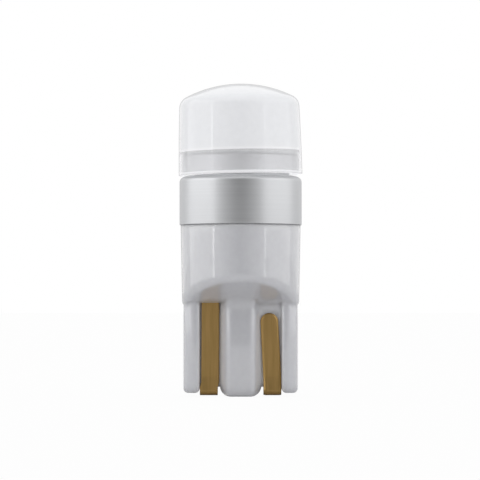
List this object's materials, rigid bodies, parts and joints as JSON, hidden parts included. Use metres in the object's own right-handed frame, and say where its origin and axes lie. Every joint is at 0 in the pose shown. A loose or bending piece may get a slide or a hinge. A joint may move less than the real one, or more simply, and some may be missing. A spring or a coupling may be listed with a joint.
{
  "type": "wedge base led bulb",
  "caption": "Small capless LED bulb: milky domed diffuser over a satin aluminium collar, on a moulded wedge base with contact strips wrapped round its web.",
  "frame": {"origin": "middle of the wedge's lowest face, the end of its middle rib, on the bulb's axis", "axes": "+Z along the bulb's axis from the wedge to the dome; X across the wedge's width, from wing to wing; the face towards -Y is the one in the picture"},
  "size_m": [0.0104, 0.0104, 0.026],
  "materials": {
    "diffuser": "milky translucent plastic, glossy outside",
    "collar": "satin turned aluminium",
    "body": "milky moulded plastic",
    "contact": "plain rolled brass, slightly dull",
    "thermal_pad": "soft grey heat conducting layer",
    "led_board": "white solder mask on a metal core",
    "led_housing": "white moulded cup",
    "phosphor": "yellow filled resin",
    "driver_board": "green glass fibre board",
    "chip_plastic": "black moulded packages",
    "chip_ceramic": "small ceramic chips with tinned ends",
    "pin": "tinned wire",
    "solder": "bright solder"
  },
  "bodies": {
    "root": {"bridge_diode_1": "chip_plastic", "bridge_diode_2": "chip_plastic", "bridge_diode_3": "chip_plastic", "bridge_diode_4": "chip_plastic", "contact_strip_left": "contact", "contact_strip_right": "contact", "diffuser_dome": "diffuser", "driver_board": "driver_board", "driver_ic": "chip_plastic", "filter_capacitor": "chip_ceramic", "heat_sink_collar": "collar", "led_board": "led_board", "led_housing_1": "led_housing", "led_housing_2": "led_housing", "led_housing_3": "led_housing", "led_housing_4": "led_housing", "led_phosphor_1": "phosphor", "led_phosphor_2": "phosphor", "led_phosphor_3": "phosphor", "led_phosphor_4": "phosphor", "leg_solder_left": "solder", "leg_solder_right": "solder", "link_pin_back": "pin", "link_pin_front": "pin", "pin_solder_back": "solder", "pin_solder_front": "solder", "sense_resistor_1": "chip_ceramic", "sense_resistor_2": "chip_ceramic", "surge_suppressor": "chip_plastic", "thermal_pad": "thermal_pad", "wedge_body": "body"}
  },
  "joints": []
}
